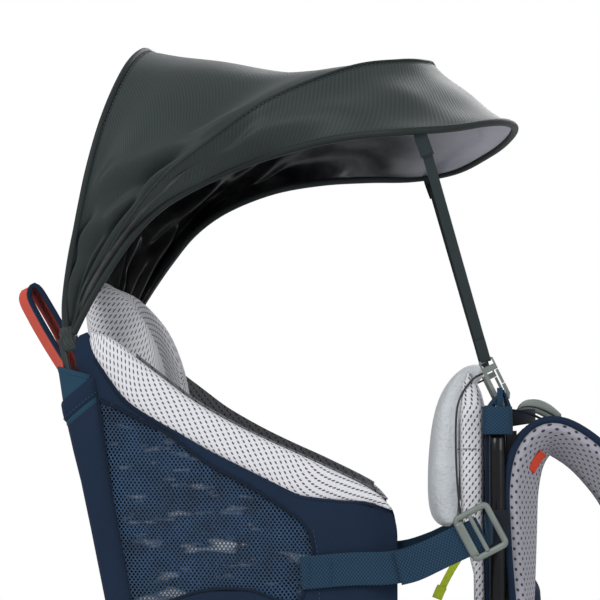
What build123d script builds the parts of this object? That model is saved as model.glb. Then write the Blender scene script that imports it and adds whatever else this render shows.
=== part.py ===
"""Framed child carrier backpack with a removable sun roof, a folding stand and a sliding harness.

Units are millimetres. +Z is up, +X is the way the wearer faces, +Y is the wearer's left.
The origin lies on the ground, in the middle of the carrier's length and width.
"""

from build123d import *
import math
import os

# ---------------------------------------------------------------- driving sizes
STAY_X = 90.0          # axis of the upright front stays
STAY_Y = 110.0
STAY_R = 7.0
STAY_TOP = 693.0
STAY_BEND = 30.0
TUBE_BORE = 5.5
SIDE_Y = 137.0         # middle plane of the rear stays, the pole sleeves and the roof poles
REAR_X = -258.0        # pole sleeve's mouth
REAR_Z = 727.0
RAKE = 0.2016          # how far the rear stays lean back for each millimetre of height
REAR_R = 5.0
HUB_X, HUB_Z = -100.0, 227.0          # stand pivot
FOOT_X, FOOT_Z = -215.0, 12.0         # stand foot bar
STAND_Y = 157.0
STAND_R = 6.5
SIDE_PANEL_Y = 141.0   # middle plane of the fabric side panels
WEB_ROOF = 10.0        # roof strap webbing width
ROOF_WIRE_R = 3.0
POLE_GAP = 4.8         # half the distance between the two roof poles in a pocket
SIDES = (("right", -1), ("left", 1))

parts = {}


def rear_x(z):
    """X of the rear stay's axis at height z."""
    return REAR_X + (REAR_Z - z) * RAKE


RAKE_LENGTH = math.hypot(RAKE, 1.0)
RAKE_UP = Vector(-RAKE / RAKE_LENGTH, 0, 1.0 / RAKE_LENGTH)


# ---------------------------------------------------------------- helpers
def slab(outline, y_a, y_b):
    """A flat solid: an outline of (x, z) points, from y_a to y_b."""
    low, high = min(y_a, y_b), max(y_a, y_b)
    wire = Wire.make_polygon([Vector(x, low, z) for x, z in outline], close=True)
    return Solid.extrude(Face(wire), Vector(0, high - low, 0))


def plan(outline, z_low, z_high):
    """An upright solid: an outline of (x, y) points, from z_low to z_high."""
    wire = Wire.make_polygon([Vector(x, y, z_low) for x, y in outline], close=True)
    return Solid.extrude(Face(wire), Vector(0, 0, z_high - z_low))


def box(x0, x1, y0, y1, z0, z1):
    centre = Vector((x0 + x1) / 2, (y0 + y1) / 2, (z0 + z1) / 2)
    return Pos(centre) * Box(abs(x1 - x0), abs(y1 - y0), abs(z1 - z0))


def rod(start, end, radius, bore=0.0):
    """A round bar or tube from start to end."""
    axis = Vector(*end) - Vector(*start)
    plane = Plane(origin=Vector(*start), z_dir=axis)
    solid = extrude(plane * Circle(radius), axis.length)
    if bore:
        solid -= extrude(plane * Circle(bore), axis.length)
    return solid


def tube(points, bends, radius, bore=0.0):
    """A bent tube through points, with a bend radius at each inner point."""
    path = FilletPolyline(*points, radius=bends)
    plane = Plane(origin=path @ 0, z_dir=path % 0)
    section = plane * Circle(radius)
    if bore:
        section -= plane * Circle(bore)
    return sweep(section, path=path)


def soft_bends(points):
    """For each inner point, the largest bend radius that its two runs leave room for."""
    bends = []
    for before, here, after in zip(points, points[1:], points[2:]):
        run_in = Vector(*here) - Vector(*before)
        run_out = Vector(*after) - Vector(*here)
        half_turn = math.radians(run_in.get_angle(run_out)) / 2
        bends.append(0.45 * min(run_in.length, run_out.length) / math.tan(half_turn))
    return bends


def band(line, thickness, y_a, y_b):
    """A strap seen edge-on: a line of (x, z) points, given thickness, from y_a to y_b."""
    near, far = [], []
    for i, (x, z) in enumerate(line):
        x0, z0 = line[max(i - 1, 0)]
        x1, z1 = line[min(i + 1, len(line) - 1)]
        length = math.hypot(x1 - x0, z1 - z0)
        nx, nz = -(z1 - z0) / length, (x1 - x0) / length
        near.append((x + nx * thickness / 2, z + nz * thickness / 2))
        far.append((x - nx * thickness / 2, z - nz * thickness / 2))
    return slab(near + far[::-1], y_a, y_b)


def mirrored(half):
    """A hoop from its right half, whose last point is on the middle plane."""
    right = [(x, -y, z) for x, y, z in half]
    return right + [(x, y, z) for x, y, z in half[-2::-1]]


def resample(points, count):
    """count points, evenly spaced along a line of points."""
    ends = [Vector(*p) for p in points]
    steps = [(b - a).length for a, b in zip(ends, ends[1:])]
    found = []
    for k in range(count):
        left = sum(steps) * k / (count - 1)
        i = 0
        while i < len(steps) - 1 and left > steps[i]:
            left -= steps[i]
            i += 1
        found.append(ends[i] + (ends[i + 1] - ends[i]) * min(1.0, left / steps[i]))
    return found


def between(row_a, row_b, share, drop=0.0):
    """A row of points part of the way from row_a to row_b, sunk by drop in its middle."""
    last = len(row_a) - 1
    return [
        a + (b - a) * share - Vector(0, 0, drop * math.sin(math.pi * i / last))
        for i, (a, b) in enumerate(zip(row_a, row_b))
    ]


def sheet(rows, thickness, inside):
    """A thin closed solid under a net of rows of points; inside is a point on its hollow side."""
    wide, deep = len(rows[0]), len(rows)
    under = []
    for j, row in enumerate(rows):
        line = []
        for i, point in enumerate(row):
            along = row[min(i + 1, wide - 1)] - row[max(i - 1, 0)]
            across = rows[min(j + 1, deep - 1)][i] - rows[max(j - 1, 0)][i]
            normal = along.cross(across).normalized()
            if normal.dot(inside - point) < 0:
                normal = -normal
            line.append(point + normal * thickness)
        under.append(line)
    faces = []

    def quad(a, b, c, d):
        faces.append(Face(Wire.make_polygon([a, b, c], close=True)))
        faces.append(Face(Wire.make_polygon([a, c, d], close=True)))

    for net in (rows, under):
        for j in range(deep - 1):
            for i in range(wide - 1):
                quad(net[j][i], net[j][i + 1], net[j + 1][i + 1], net[j + 1][i])
    for j in (0, deep - 1):
        for i in range(wide - 1):
            quad(rows[j][i], rows[j][i + 1], under[j][i + 1], under[j][i])
    for i in (0, wide - 1):
        for j in range(deep - 1):
            quad(rows[j][i], rows[j + 1][i], under[j + 1][i], under[j][i])
    return Solid(Shell(faces))


def round_edges(solid, radius, axis=Axis.Z):
    return fillet(solid.edges().filter_by(axis), radius)


def both_sides(make):
    """One node of two solids: make(side) for the right side, -1, and the left side, 1."""
    return Compound(children=[make(side) for side in (-1, 1)])


# ---------------------------------------------------------------- frame
STAY_CORNERS = [
    (STAY_X, -STAY_Y, 30),
    (STAY_X, -STAY_Y, STAY_TOP),
    (STAY_X, STAY_Y, STAY_TOP),
    (STAY_X, STAY_Y, 30),
]
HUB_END = (86.0, 82.5)     # where a rear stay enters its corner hub


def rear_run(side):
    """Corners of a rear stay, from its top down into the corner hub."""
    y = side * SIDE_Y
    return [(rear_x(640), y, 640), (rear_x(280), y, 280), (HUB_END[0], y, HUB_END[1])]


def corner_hub(side):
    outline = [(52, 62), (104, 62), (104, 128), (80, 128), (52, 116)]
    run = rear_run(side)
    hub = slab(outline, side * 100, side * 147)
    hub -= rod((STAY_X, side * STAY_Y, 40), (STAY_X, side * STAY_Y, 150), STAY_R)
    return hub - rod(run[2], run[1], REAR_R)


def front_foot(side):
    foot = rod((STAY_X, side * STAY_Y, 0), (STAY_X, side * STAY_Y, 58), 12)
    return foot - rod((STAY_X, side * STAY_Y, 30), (STAY_X, side * STAY_Y, 70), STAY_R)


def build_frame():
    """Front U-stay, rear stays, cross tubes, corner hubs and feet."""
    parts["front_stay"] = tube(STAY_CORNERS, STAY_BEND, STAY_R, TUBE_BORE)
    parts["rear_stays"] = both_sides(lambda side: tube(rear_run(side), 90, REAR_R, 3.8))
    parts["corner_hubs"] = both_sides(corner_hub)
    parts["front_feet"] = both_sides(front_foot)
    reach = STAY_Y - STAY_R
    crosses = [rod((STAY_X, -reach, z), (STAY_X, reach, z), 5, 3.8) for z in (230, 480)]
    seat_z = 312
    seat_x = rear_x(seat_z) + 2
    reach = SIDE_Y - REAR_R
    crosses.append(rod((seat_x, -reach, seat_z), (seat_x, reach, seat_z), 5, 3.8))
    parts["cross_tubes"] = Compound(children=crosses)


# ---------------------------------------------------------------- stand
LEG_DOWN = Vector(FOOT_X - HUB_X, 0, FOOT_Z - HUB_Z).normalized()
LEG_TOP = Vector(HUB_X, 0, HUB_Z) + LEG_DOWN * 14
STAY_SLOPE = math.degrees(math.atan2(280 - HUB_END[1], HUB_END[0] - rear_x(280)))


def stand_hub(side):
    """Plastic block clamped on a rear stay, which carries the stand's pivot."""
    block = fillet(Box(58, 20, 34).edges().filter_by(Axis.Y), 12)
    block = Pos(HUB_X, side * 139, HUB_Z) * Rot(0, STAY_SLOPE, 0) * block
    run = rear_run(side)
    return block - rod(run[2], run[1], REAR_R) - pivot(HUB_X, HUB_Z, side, 145, 168, 5)


def pivot(x, z, side, y_inner, y_outer, radius):
    return rod((x, side * y_inner, z), (x, side * y_outer, z), radius)


def stand_pin(side):
    return pivot(HUB_X, HUB_Z, side, 145, 168, 5) + pivot(HUB_X, HUB_Z, side, 165, 168, 9)


def stand_eye(side):
    """Ring at the head of a stand leg, turning on the pivot pin."""
    offset = Vector(0, side * STAND_Y, 0)
    ring = pivot(HUB_X, HUB_Z, side, 150, 164, 14) - pivot(HUB_X, HUB_Z, side, 150, 164, 5.06)
    return ring - rod(tuple(LEG_TOP + offset), tuple(LEG_TOP + LEG_DOWN * 30 + offset), STAND_R)


def stand_grip(side):
    """Rubber sleeve on the foot bar, with a flat underside on the ground."""
    grip = rod((FOOT_X, side * 40, FOOT_Z), (FOOT_X, side * 112, FOOT_Z), 13, STAND_R)
    return grip - box(FOOT_X - 20, FOOT_X + 20, side * 30, side * 120, -5, 0)


def build_stand():
    """U-shaped folding stand on two pivot hubs, with rubber grips on its foot bar."""
    corners = [
        (LEG_TOP.X, -STAND_Y, LEG_TOP.Z),
        (FOOT_X, -STAND_Y, FOOT_Z),
        (FOOT_X, STAND_Y, FOOT_Z),
        (LEG_TOP.X, STAND_Y, LEG_TOP.Z),
    ]
    parts["stand_tube"] = tube(corners, 38, STAND_R, 5.0)
    parts["stand_hubs"] = both_sides(stand_hub)
    parts["stand_eyes"] = both_sides(stand_eye)
    parts["stand_grips"] = both_sides(stand_grip)
    stirrup_pins = [pivot(*STIRRUP_PIVOT, side, 100, 142, 4) for side in (-1, 1)]
    stand_pins = [stand_pin(side) for side in (-1, 1)]
    parts["pivot_pins"] = Compound(children=stand_pins + stirrup_pins)


# ---------------------------------------------------------------- cockpit
SIDE_TOP = [(-240, 736), (-228, 722), (-208, 697), (-183, 683), (-147, 661),
            (-71, 624), (-61, 620), (-40, 621), (-21, 620), (-8, 619), (4, 613)]
SIDE_LOW = [(8, 600), (8, 420), (-20, 302)]
SIDE_REAR = 16.0       # gap from the rear stay's axis to the side panel's rear edge
WINDOW = [(-227, 690), (-210, 685), (-181, 674), (-147, 650), (-112, 631), (-71, 604),
          (-60, 585), (-64, 560), (-76, 538), (-112, 551), (-152, 548), (-200, 537)]
RIM_TOP = [(-246, 760), (-222, 752), (-206.6, 739), (-181.7, 720), (-160, 704), (-128.6, 686),
           (-71, 659), (-26, 638), (-5.7, 625), (3, 614.8)]
RIM_LOW = [(-8, 621), (-21, 622), (-40, 623), (-61, 622), (-71, 626), (-147, 663),
           (-183, 685), (-207, 699.5), (-227, 724), (-238, 741)]


def side_panel(side):
    rear_edge = [(rear_x(z) + SIDE_REAR, z) for z in (302, 700)]
    y_inner, y_outer = side * (SIDE_PANEL_Y - 1), side * (SIDE_PANEL_Y + 1)
    panel = slab(rear_edge + SIDE_TOP + SIDE_LOW, y_inner, y_outer)
    return panel - slab(WINDOW, y_inner, y_outer)


def side_mesh(side):
    return slab(WINDOW, side * (SIDE_PANEL_Y - 0.5), side * (SIDE_PANEL_Y + 0.5))


def stay_sleeve(side):
    low, high = ((rear_x(z), side * SIDE_Y, z) for z in (330, 640))
    return rod(low, high, 11.5, REAR_R + 0.4)


def pole_plane(side, z):
    """Plane across a pole pocket at height z: x forward, z up the poles."""
    forward = (RAKE_UP.Z, 0, -RAKE_UP.X)
    return Plane(origin=(rear_x(z), side * SIDE_Y, z), x_dir=forward, z_dir=RAKE_UP)


def pole_pocket(side):
    """Fabric pocket at the head of a sleeve, with a blind hollow for the two roof poles."""
    plane = pole_plane(side, 648)
    height = (REAR_Z - 648) * RAKE_LENGTH
    body = extrude(plane * SlotOverall(27, 17), height)
    return body - extrude(plane.offset(4) * SlotOverall(20, 9), height)


def build_cockpit():
    """Child's seat area: side panels, mesh windows, padded rims, rear panel, seat and front liner."""
    parts["side_panels"] = both_sides(side_panel)
    parts["side_meshes"] = both_sides(side_mesh)
    parts["rim_pads"] = both_sides(lambda side: slab(RIM_TOP + RIM_LOW, side * 124, side * 142))
    parts["stay_sleeves"] = both_sides(stay_sleeve)
    parts["pole_pockets"] = both_sides(pole_pocket)
    back = [(rear_x(z) - 9, z) for z in (300, 722)] + [(rear_x(z) - 6, z) for z in (722, 300)]
    parts["rear_panel"] = slab(back, -123, 123)
    pad = [(rear_x(z) + 2, z) for z in (372, 690)] + [(rear_x(z) + 24, z) for z in (690, 372)]
    parts["back_pad"] = slab(pad, -106, 106)
    seat = [(-158, 332), (8, 332), (12, 350), (8, 358), (-156, 358)]
    parts["seat_pad"] = slab(seat, -116, 116)
    liner = [(72, 336), (79, 336), (79, 720), (70, 726), (60, 720), (56, 700), (58, 620), (70, 560)]
    parts["front_liner"] = slab(liner, -100, 100)
    chin = [(33, 612), (45, 601), (56, 603), (54.5, 700), (58, 722), (72, 728), (78, 734),
            (60, 737), (46, 722), (38, 695), (33, 655)]
    parts["chin_pad"] = slab(chin, -88, 88)
    build_headrest()


def build_headrest():
    """U-shaped pillow at the head of the rear panel, leaning with it."""
    z_low, z_high = 694, 806
    wing, front = 88, 50
    outline = [(6, -wing), (64, -wing), (74, -wing + 6), (72, -wing + 18), (front, -wing + 26),
               (front, wing - 26), (72, wing - 18), (74, wing - 6), (64, wing), (6, wing)]
    base = rear_x(z_low)
    wire = Wire.make_polygon([Vector(base + x, y, z_low) for x, y in outline], close=True)
    lean = Vector(-RAKE * (z_high - z_low), 0, z_high - z_low)
    parts["headrest"] = Solid.extrude(Face(wire), lean)


# ---------------------------------------------------------------- child's harness
def child_shoulder_pad(side):
    pad = [(rear_x(z) + 26, z) for z in (520, 668)] + [(rear_x(z) + 34, z) for z in (668, 520)]
    return slab(pad, side * 28, side * 66)


def child_waist_pad(side):
    return slab([(-150, 436), (-112, 424), (-112, 456), (-154, 468)], side * 84, side * 92)


def build_child_harness():
    """Shoulder pads, waist pads, webbing and buckle that hold the child."""
    pads = [make(side) for make in (child_shoulder_pad, child_waist_pad) for side in (-1, 1)]
    parts["child_harness_pads"] = Compound(children=pads)
    line = [(rear_x(520) + 30, 518), (-150, 470), (-128, 448)]
    webs = [band(line, 1.6, side * 40, side * 58) for side in (-1, 1)]
    webs.append(band([(-66, 404), (-104, 434)], 1.8, -12, 12))
    parts["child_harness_webbing"] = Compound(children=webs)
    buckle = round_edges(Box(34, 58, 11), 10)
    parts["child_harness_buckle"] = Pos(-122, 0, 440) * Rot(0, 18, 0) * buckle


# ---------------------------------------------------------------- storage bag
BAG_HALF = 99.0
BAG_REAR = [(-152, 262), (-134, 150)]      # flat part of the bag's rear face


def bag_rear_x(z):
    (x_top, z_top), (x_low, z_low) = BAG_REAR
    return x_low + (x_top - x_low) * (z - z_low) / (z_top - z_low)


def build_bag():
    """Storage compartment under the seat, with a zip across its rear face."""
    outline = [(80, 64), (80, 290), (-135, 290)] + BAG_REAR + [(-70, 80), (0, 64)]
    parts["storage_bag"] = slab(outline, -BAG_HALF, BAG_HALF)
    tape = [(bag_rear_x(z), z) for z in (214, 238)]
    parts["bag_zip_tape"] = slab(tape + [(x - 1.6, z) for x, z in tape[::-1]], -97, 97)
    x_slider = bag_rear_x(226) - 3.2
    slider = box(x_slider - 4, x_slider, -94, -84, 221, 231)
    pull = box(x_slider - 6.4, x_slider - 4.2, -92, -86, 196, 229)
    parts["zip_slider"] = Compound(children=[slider, pull])


# ---------------------------------------------------------------- wearer's back system
FIN_LINE = [(112, 92), (128, 128), (158, 158), (200, 178), (244, 184)]
HIP_WEB_LINE = [(247.5, 181), (270, 160), (288, 126), (299, 90)]


def plan_band(line, half, side):
    """Outline of an upright band in plan: half its width either side of a line of (x, y) points."""
    outer = [(x, side * (y + half)) for x, y in line]
    return outer + [(x, side * (y - half)) for x, y in line[::-1]]


def build_back_system():
    """Fixed back panel with its slide rail, lumbar pad, hip fins and their webbing."""
    rail = box(103, 107, -22, 22, 330, 680)
    parts["back_panel"] = Compound(children=[box(98, 103, -98, 98, 132, 690), rail])
    lumbar = [(103.5, 135), (122, 145), (128, 190), (122, 235), (103.5, 245)]
    parts["lumbar_pad"] = slab(lumbar, -80, 80)
    for name, side in SIDES:
        fin = plan(plan_band(FIN_LINE, 9, side), 140, 228)
        fin -= slab([(150, 130), (260, 130), (260, 168)], -250, 250)
        fin -= slab([(150, 240), (260, 240), (260, 204)], -250, 250)
        parts[f"hip_fin_{name}"] = fin
        parts[f"hip_web_{name}"] = plan(plan_band(HIP_WEB_LINE, 1.6, side), 170, 202)
    socket = box(295, 317, -88, -40, 165, 207)
    parts["hip_buckle_socket"] = socket - box(299, 313, -70, -39, 171, 201)
    plug = box(296, 316, 58, 88, 165, 207)
    for z in (172, 183, 194):
        plug += box(301, 311, 20, 58, z, z + 6)
    parts["hip_buckle_plug"] = plug


# ---------------------------------------------------------------- wearer's harness
STRAP_LINE = [(116, 452), (114, 600), (119, 638), (135, 662), (158, 669), (182, 655), (204, 620),
              (216, 570), (220, 510), (212, 450)]
LIFTER_LINE = [(104.2, 694), (114, 694), (126, 692)]
TAIL_LINE = [(211, 446), (198, 380), (160, 290), (132, 236)]
STERNUM_RAIL = [(228, 566), (233, 490)]
LIFTER_BUCKLE = [(118, 697), (124, 702), (142, 700), (158, 690), (156, 685), (140, 692)]


def build_shoulder_harness():
    """Yoke, shoulder straps, load lifters, sternum strap and their buckles."""
    yoke = box(107.6, 124, -62, 62, 452, 556)
    slider = box(107.4, 111, -26, 26, 557, 604)
    parts["harness_yoke"] = Compound(children=[yoke, slider])
    parts["shoulder_straps"] = both_sides(lambda side: band(STRAP_LINE, 17, side * 62, side * 114))
    webs = [band(line, 1.8, side * 78, side * 98)
            for line in (LIFTER_LINE, TAIL_LINE) for side in (-1, 1)]
    parts["harness_webbing"] = Compound(children=webs)
    buckles = [slab(LIFTER_BUCKLE, side * 74, side * 102) for side in (-1, 1)]
    rails = [band(STERNUM_RAIL, 3, side * 84, side * 92) for side in (-1, 1)]
    parts["harness_fittings"] = Compound(children=buckles + rails)
    parts["sternum_strap"] = box(236, 238, -96, 96, 518, 538)
    parts["sternum_buckle"] = round_edges(box(238, 247, -26, 26, 514, 542), 3, Axis.X)


# ---------------------------------------------------------------- straps, loops, handles
RING_X, RING_Z, RING_TILT = 76.0, 597.0, 28.0
SIDE_STRAP = [(-66, 577), (-30, 581), (6, 582), (36, 592), (62, 603),
              (74, 579), (46, 565), (8, 554), (-28, 553), (-68, 549)]
SIDE_TAIL = [(14, 583), (38, 594), (66, 607), (78, 583), (52, 568), (24, 556)]


def side_ring(side):
    ring = Box(28, 5, 38) - Box(19, 5, 30)
    ring = fillet(ring.edges().filter_by(Axis.Y), 2.4)
    return Pos(RING_X, side * 139.5, RING_Z) * Rot(0, RING_TILT, 0) * ring


def side_anchor(side):
    """Short webbing from a side ring in to the front stay."""
    outline = [(88, 134), (91, 136.5), (101, 121), (98, 119)]
    return plan([(x, side * y) for x, y in outline], 584, 611)


def stay_wrap(side):
    """Webbing cuff round the front stay, where a side anchor is sewn."""
    return rod((STAY_X, side * STAY_Y, 582), (STAY_X, side * STAY_Y, 613), 9.4, STAY_R + 0.1)


def corner_cuff(side):
    """Webbing cuff over the frame's top corner."""
    cuff = box(77, 97.6, side * 100.3, side * 121, 662, 699)
    return cuff - tube(STAY_CORNERS, STAY_BEND, STAY_R)


def build_straps():
    """Side straps with their ladder-lock rings, cuffs, haul loops and the seat pull."""
    y_in, y_out = SIDE_PANEL_Y + 2, SIDE_PANEL_Y + 4
    straps = [slab(SIDE_STRAP, side * y_in, side * y_out) for side in (-1, 1)]
    straps += [slab(SIDE_TAIL, side * (y_out + 0.5), side * (y_out + 2.5)) for side in (-1, 1)]
    parts["side_straps"] = Compound(children=straps)
    parts["side_rings"] = both_sides(side_ring)
    cuffs = [make(side) for make in (side_anchor, stay_wrap, corner_cuff) for side in (-1, 1)]
    parts["stay_cuffs"] = Compound(children=cuffs)
    outer = [(-268, 716), (-290, 758), (-306, 792), (-317, 803), (-309, 812), (-296, 806),
             (-276, 776), (-263, 742), (-262, 724), (-267.5, 723)]
    inner = [(-269, 742), (-286, 772), (-301, 797), (-306, 801), (-298, 800), (-281, 772)]
    rear_loop = slab(outer, -34, 34) - slab(inner, -40, 40)
    grab = [(103.2, -46), (103.2, 46), (118, 40), (124, 26), (124, -26), (118, -40)]
    hole = [(103.2, -40), (103.2, 40), (114, 34), (119, 22), (119, -22), (114, -34)]
    front_loop = plan(grab, 682, 690) - plan(hole, 680, 700)
    parts["haul_loops"] = Compound(children=[rear_loop, front_loop])
    cord = band([(40, 583), (36, 560), (34, 548)], 2, -70, -66)
    tab = slab([(28, 534), (39, 536), (40, 547), (31, 547)], -72, -64)
    parts["seat_pull"] = Compound(children=[cord, tab])


STIRRUP_PIVOT = (68.0, 470.0)
STIRRUP_Y = 132.0


def build_stirrups():
    """Foot loops that hang beside the front of the child's seat."""
    x, z = STIRRUP_PIVOT
    for name, side in SIDES:
        y = side * STIRRUP_Y
        eye = rod((x, y - 2, z), (x, y + 2, z), 9, 4.06)
        web = box(x - 6, x + 6, y - 1, y + 1, z - 128, z - 8.6)
        foot = [(x - 36, z - 200), (x + 36, z - 200), (x + 26, z - 129), (x - 26, z - 129)]
        gap = [(x - 30, z - 195), (x + 30, z - 195), (x + 22, z - 134), (x - 22, z - 134)]
        loop = slab(foot, y - 12, y + 12) - slab(gap, y - 15, y + 15)
        parts[f"stirrup_{name}"] = Compound(children=[eye, web, loop])


# ---------------------------------------------------------------- sun roof
REAR_HALF = [(-264, 141, 812), (-251, 148, 868), (-237, 137, 930), (-221, 90, 984),
             (-214, 45, 1003), (-212, 0, 1009)]
MID_HALF = [(-240, 141, 806), (-217, 145, 846), (-184, 148, 887), (-148, 147, 916),
            (-96, 138, 955), (-32, 117, 982), (9, 86, 991), (29, 50, 996), (37, 0, 1001)]
RIM_HALF = [(-231, 137, 810), (-208, 136, 841), (-156, 114, 885), (-104, 122, 905),
            (-60, 148, 914), (-20, 172, 918), (22, 178, 920), (58, 156, 924), (86, 112, 934),
            (102, 62, 940), (108, 0, 943)]
POLE_FOOT = 662.0
POLE_LENGTH = 112.0
HOOP_STATIONS = 13
ROOF_SHEET = 1.6
ROOF_INSIDE = Vector(-90, 0, 850)


def roof_pole(offset, half):
    """A hoop's right half with its straight pole, down into the pole pocket."""
    plane = pole_plane(1, POLE_FOOT)
    foot = plane.origin + plane.x_dir * offset
    head = foot + RAKE_UP * POLE_LENGTH
    return [tuple(foot), tuple(head)] + half


def build_roof():
    """Sun roof: two poled hoops, the middle hoop, three fabric panels, straps and gate hooks."""
    hoops = {
        "rear": mirrored(roof_pole(-POLE_GAP, REAR_HALF)),
        "rim": mirrored(roof_pole(POLE_GAP, RIM_HALF)),
        "mid": mirrored(MID_HALF),
    }
    for name, hoop in hoops.items():
        parts[f"roof_{name}_wire"] = tube(hoop, soft_bends(hoop), ROOF_WIRE_R)
    rear_row = resample(mirrored(REAR_HALF), HOOP_STATIONS)
    mid_row = resample(mirrored(MID_HALF), HOOP_STATIONS)
    rim_row = resample(mirrored(RIM_HALF), HOOP_STATIONS)
    lift = Vector(0, 0, ROOF_WIRE_R + ROOF_SHEET + 0.3)
    raised_rear = [p + lift for p in rear_row]
    raised_mid = [p + lift for p in mid_row]
    top = [between(raised_rear, raised_mid, s, d) for s, d in ((0.06, 0), (0.5, 12), (0.94, 0))]
    parts["roof_top_panel"] = sheet(top, ROOF_SHEET, ROOF_INSIDE)
    front = [between(raised_mid, rim_row, s, 0) for s in (0.05, 0.5, 0.96)]
    parts["roof_front_panel"] = sheet(front, ROOF_SHEET, ROOF_INSIDE)
    hem_row = resample(mirrored([(-264, 141, 806), (-264, 100, 812), (-264, 0, 818)]), HOOP_STATIONS)
    clear = Vector(-5.4, 0, 0)
    back = [[p + clear for p in between(rear_row, hem_row, s)][2:-2] for s in (0.04, 0.5, 1.0)]
    parts["roof_rear_panel"] = sheet(back, ROOF_SHEET, ROOF_INSIDE)
    parts["roof_gathers"] = both_sides(roof_gather)
    parts["roof_straps"] = both_sides(roof_strap)
    parts["roof_hooks"] = both_sides(lambda side: hook_slab(HOOK_BODY, side, HOOK_HALF) - hook_gaps(side))
    parts["hook_loops"] = both_sides(hook_loop)
    for name, side in SIDES:
        parts[f"hook_gate_{name}"] = hook_slab(HOOK_GATE, side, HOOK_HALF - 0.6)


def roof_gather(side):
    """Knot of fabric that gathers the roof round its two poles."""
    plane = pole_plane(side, 746)
    knot = extrude(plane * SlotOverall(26, 15), 22)
    for offset in (-POLE_GAP, POLE_GAP):
        knot -= extrude(plane * Pos(offset, 0) * Circle(ROOF_WIRE_R + 0.2), 22)
    return knot


# Gate hooks: their outlines are drawn as (across, down) from the top of the hook.
HOOK_TOP = (80.0, 108.0, 738.0)
HOOK_TILT = 26.0
HOOK_HALF = 2.4
HOOK_BODY = [(-6.5, 1), (-5, 0), (5, 0), (6.5, 1), (6.5, 34), (4, 38), (-3, 38), (-6.5, 34)]
HOOK_SLOT = [(-5, 2.4), (5, 2.4), (5, 6), (-5, 6)]
HOOK_EYE = [(-3.4, 11), (7, 11), (7, 24.6), (3.4, 24.6), (3.4, 32), (1.5, 34.5), (-1.5, 34.5), (-3.4, 32)]
HOOK_GATE = [(3.9, 11.6), (6.3, 11.6), (6.3, 24), (3.9, 24)]


def hook_point(across, down):
    """(x, z) of a point given across and down a leaning hook."""
    tilt = math.radians(HOOK_TILT)
    x = HOOK_TOP[0] + across * math.cos(tilt) + down * math.sin(tilt)
    return x, HOOK_TOP[2] + across * math.sin(tilt) - down * math.cos(tilt)


def hook_slab(outline, side, half):
    y = side * HOOK_TOP[1]
    return slab([hook_point(*point) for point in outline], y - half, y + half)


def hook_gaps(side):
    return hook_slab(HOOK_SLOT, side, HOOK_HALF) + hook_slab(HOOK_EYE, side, HOOK_HALF)


def hook_loop(side):
    """Webbing loop on the frame's top corner: a bridge through the hook's eye."""
    x, z = hook_point(0, 28)
    y = HOOK_TOP[1]
    loop = box(x - 2.4, x + 2.4, side * (y - 7), side * (y + 7), 699.4, z + 1.5)
    return loop - box(x - 5, x + 5, side * (y - 4.8), side * (y + 4.8), 699, z - 0.5)


def roof_strap(side):
    """Flat webbing from the roof's rim to a gate hook."""
    top = Vector(33, side * 168, 909)
    x, z = hook_point(0, 2)
    line = Vector(x, side * HOOK_TOP[1], z + 3.5) - top
    across = line.cross(Vector(0, 1, 0)).normalized() * (WEB_ROOF / 2)
    deep = line.cross(across).normalized() * 0.8
    corners = [top - across - deep, top + across - deep, top + across + deep, top - across + deep]
    return Solid.extrude(Face(Wire.make_polygon(corners, close=True)), line)


def main():
    build_frame()
    build_stand()
    build_cockpit()
    build_child_harness()
    build_bag()
    build_back_system()
    build_shoulder_harness()
    build_straps()
    build_stirrups()
    build_roof()
    os.makedirs("parts", exist_ok=True)
    for name, shape in parts.items():
        export_step(shape, f"parts/{name}.step")
    print(len(parts), "nodes")


main()
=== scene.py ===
"""Looks for the child carrier backpack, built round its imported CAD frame. Metres, +Z up, +X forward."""
import bpy
import bmesh
from math import copysign, cos, exp, pi, radians, sin, sqrt
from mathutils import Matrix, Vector, noise


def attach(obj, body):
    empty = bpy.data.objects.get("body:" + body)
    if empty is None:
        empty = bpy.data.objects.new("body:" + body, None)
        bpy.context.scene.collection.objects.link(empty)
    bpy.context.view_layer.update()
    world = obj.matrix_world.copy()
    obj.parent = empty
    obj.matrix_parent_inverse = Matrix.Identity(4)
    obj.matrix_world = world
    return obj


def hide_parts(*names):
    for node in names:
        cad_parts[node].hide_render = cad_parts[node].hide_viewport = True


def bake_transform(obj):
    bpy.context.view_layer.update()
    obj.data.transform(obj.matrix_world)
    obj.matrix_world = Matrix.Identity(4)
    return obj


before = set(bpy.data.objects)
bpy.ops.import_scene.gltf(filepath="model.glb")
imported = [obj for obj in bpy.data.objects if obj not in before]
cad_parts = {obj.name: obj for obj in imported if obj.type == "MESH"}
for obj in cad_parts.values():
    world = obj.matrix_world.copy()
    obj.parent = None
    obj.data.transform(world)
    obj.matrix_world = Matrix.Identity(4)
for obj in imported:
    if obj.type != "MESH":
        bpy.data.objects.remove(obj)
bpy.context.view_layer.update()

MM = 0.001
SIDES = (("right", -1), ("left", 1))
UP = Vector((0, 0, 1))
OUT = Vector((0, 1, 0))
FORWARD = Vector((1, 0, 0))

# Driving places, in millimetres, as in the CAD
SIDE_Y = 137.0
STAY_X, STAY_Y = 90.0, 110.0
REAR_X, REAR_Z, RAKE = -258.0, 727.0, 0.2016
RAKE_UP = Vector((-RAKE, 0, 1)).normalized()
RAKE_FORWARD = Vector((RAKE_UP.z, 0, -RAKE_UP.x))

# Points laid per stitch, and how many of their steps the thread covers
STITCH_STEPS, THREAD_STEPS = 8, 4


def rear_x(z):
    """Where the leaning rear stay stands at height z, in mm."""
    return REAR_X + (REAR_Z - z) * RAKE


def vec(x, y, z):
    return Vector((x, y, z)) * MM


def clamp(value, low=0.0, high=1.0):
    return max(low, min(high, value))


def ease(value):
    """A soft step from 0 to 1."""
    value = clamp(value)
    return value * value * (3 - 2 * value)


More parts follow.
